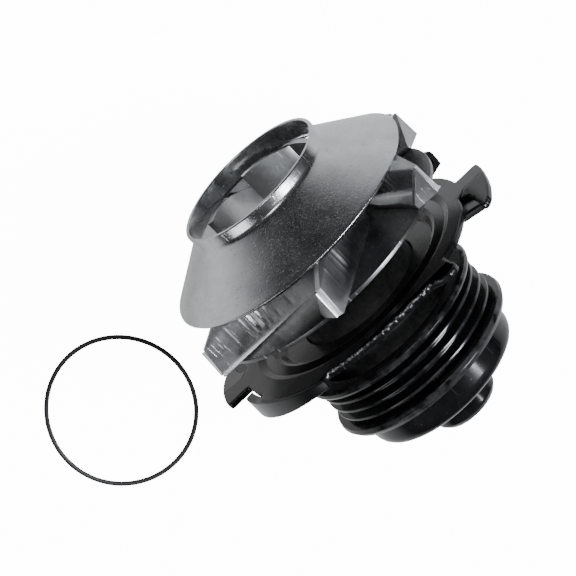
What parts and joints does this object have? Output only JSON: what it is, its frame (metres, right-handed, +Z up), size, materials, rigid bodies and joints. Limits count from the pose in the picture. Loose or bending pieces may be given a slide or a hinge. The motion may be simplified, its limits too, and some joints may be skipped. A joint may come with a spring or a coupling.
{
  "type": "water pump",
  "caption": "Engine cooling pump cartridge: open-eyed shrouded impeller, eared cover plate, ribbed belt pulley on a sealed bearing, with its loose sealing ring.",
  "frame": {"origin": "on the shaft's axis, at the front face of the cover plate's rim, which seats on the engine", "axes": "+Y along the shaft towards the pulley, the impeller's eye faces -Y, +Z up as the pump lies in use"},
  "size_m": [0.1467, 0.096, 0.0923],
  "materials": {
    "impeller_steel": "bare zinc-plated sheet, half gloss, finely scratched",
    "black_coat": "glossy black electro-coat",
    "ground_steel": "ground and polished",
    "cast_iron": "as cast, dark",
    "seal_rubber": "matt",
    "o_ring_rubber": "matt",
    "brass": "drawn, half gloss",
    "carbon": "lapped, dull",
    "ceramic": "lapped, off-white",
    "cage_nylon": "moulded, plain"
  },
  "bodies": {
    "housing": {"cover_plate": "black_coat", "bearing_housing": "cast_iron", "bearing_outer_ring": "ground_steel", "front_bearing_seal": "seal_rubber", "rear_bearing_seal": "seal_rubber", "seal_cup": "brass", "seal_bellows": "seal_rubber", "seal_spring": "ground_steel", "carbon_ring": "carbon"},
    "rotor": {"front_shroud": "impeller_steel", "vane_1": "impeller_steel", "vane_2": "impeller_steel", "vane_3": "impeller_steel", "vane_4": "impeller_steel", "vane_5": "impeller_steel", "vane_6": "impeller_steel", "back_plate": "impeller_steel", "impeller_hub": "ground_steel", "shaft": "ground_steel", "seal_seat": "ceramic", "seat_boot": "seal_rubber", "slinger": "ground_steel", "pulley": "black_coat", "pulley_hub": "black_coat"},
    "front_balls": {"front_cage": "cage_nylon", "front_ball_1": "ground_steel", "front_ball_2": "ground_steel", "front_ball_3": "ground_steel", "front_ball_4": "ground_steel", "front_ball_5": "ground_steel", "front_ball_6": "ground_steel", "front_ball_7": "ground_steel"},
    "rear_balls": {"rear_cage": "cage_nylon", "rear_ball_1": "ground_steel", "rear_ball_2": "ground_steel", "rear_ball_3": "ground_steel", "rear_ball_4": "ground_steel", "rear_ball_5": "ground_steel", "rear_ball_6": "ground_steel", "rear_ball_7": "ground_steel"},
    "loose_ring": {"o_ring": "o_ring_rubber"}
  },
  "joints": [
    {"name": "rotor_spin", "type": "hinge", "parent": "housing", "child": "rotor", "pos_m": [0, 0, 0], "axis": [0, 1, 0], "continuous": true},
    {"name": "front_balls_spin", "type": "hinge", "parent": "housing", "child": "front_balls", "pos_m": [0, 0, 0], "axis": [0, 1, 0], "continuous": true},
    {"name": "rear_balls_spin", "type": "hinge", "parent": "housing", "child": "rear_balls", "pos_m": [0, 0, 0], "axis": [0, 1, 0], "continuous": true},
    {"name": "o_ring_lift", "type": "slide", "parent": "housing", "child": "loose_ring", "axis": [0, 0, 1], "range_m": [0, 0.06]}
  ],
  "couplings": [
    {"joint": "front_balls_spin", "follows": "rotor_spin", "ratio": 0.389},
    {"joint": "rear_balls_spin", "follows": "rotor_spin", "ratio": 0.389}
  ]
}
